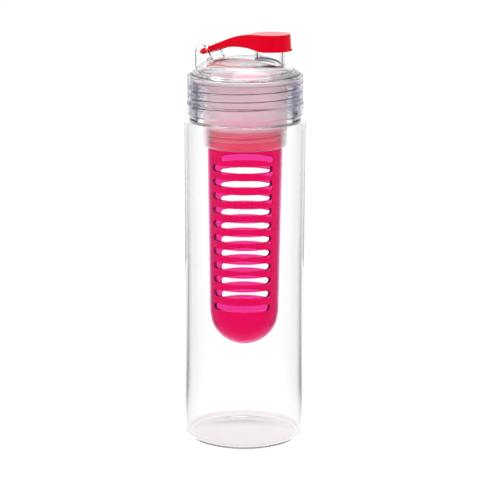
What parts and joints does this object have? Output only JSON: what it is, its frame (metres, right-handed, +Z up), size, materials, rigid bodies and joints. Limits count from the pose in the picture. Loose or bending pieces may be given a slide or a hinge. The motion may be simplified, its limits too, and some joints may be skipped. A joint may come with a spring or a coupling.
{
  "type": "fruit infuser water bottle",
  "caption": "Clear screw-top water bottle with a hinged flip cap over its drinking spout and a slotted fruit basket that hangs inside from a threaded collar.",
  "frame": {"origin": "middle of the base, on the surface that the bottle stands on", "axes": "+Z up along the bottle's axis; +X from the axis towards the drinking spout, so the flip cap's hinge is on the -X side and turns about a line along Y"},
  "size_m": [0.073, 0.073, 0.2492],
  "materials": {
    "clear_bottle": "clear polished plastic",
    "clear_lid": "clear polished plastic",
    "frosted_collar": "milky translucent plastic",
    "pink_basket": "tinted translucent plastic, polished",
    "red_cap": "opaque moulded plastic, semi-gloss",
    "soft_seal": "pale translucent silicone"
  },
  "bodies": {
    "bottle": {"bottle_body": "clear_bottle"},
    "infuser": {"infuser_collar": "frosted_collar"},
    "basket": {"infuser_basket": "pink_basket"},
    "gasket": {"lid_gasket": "soft_seal"},
    "screw_lid": {"lid": "clear_lid", "hinge_pin": "red_cap"},
    "cap": {"flip_cap": "red_cap", "spout_seal": "soft_seal"}
  },
  "joints": [
    {"name": "infuser_lift", "type": "slide", "parent": "bottle", "child": "infuser", "axis": [0, 0, 1], "range_m": [0, 0.175]},
    {"name": "basket_release", "type": "slide", "parent": "infuser", "child": "basket", "axis": [0, 0, -1], "range_m": [0, 0.014]},
    {"name": "lid_rise", "type": "slide", "parent": "infuser", "child": "gasket", "axis": [0, 0, 1], "range_m": [0, 0.012]},
    {"name": "lid_turn", "type": "hinge", "parent": "gasket", "child": "screw_lid", "pos_m": [0, 0, 0.2233], "axis": [0, 0, 1], "range_deg": [0, 900]},
    {"name": "cap_flip", "type": "hinge", "parent": "screw_lid", "child": "cap", "pos_m": [-0.0254, 0, 0.237], "axis": [0, -1, 0], "range_deg": [0, 135]}
  ],
  "couplings": [
    {"joint": "lid_rise", "follows": "lid_turn", "m_per_rad": 0.00076394}
  ]
}
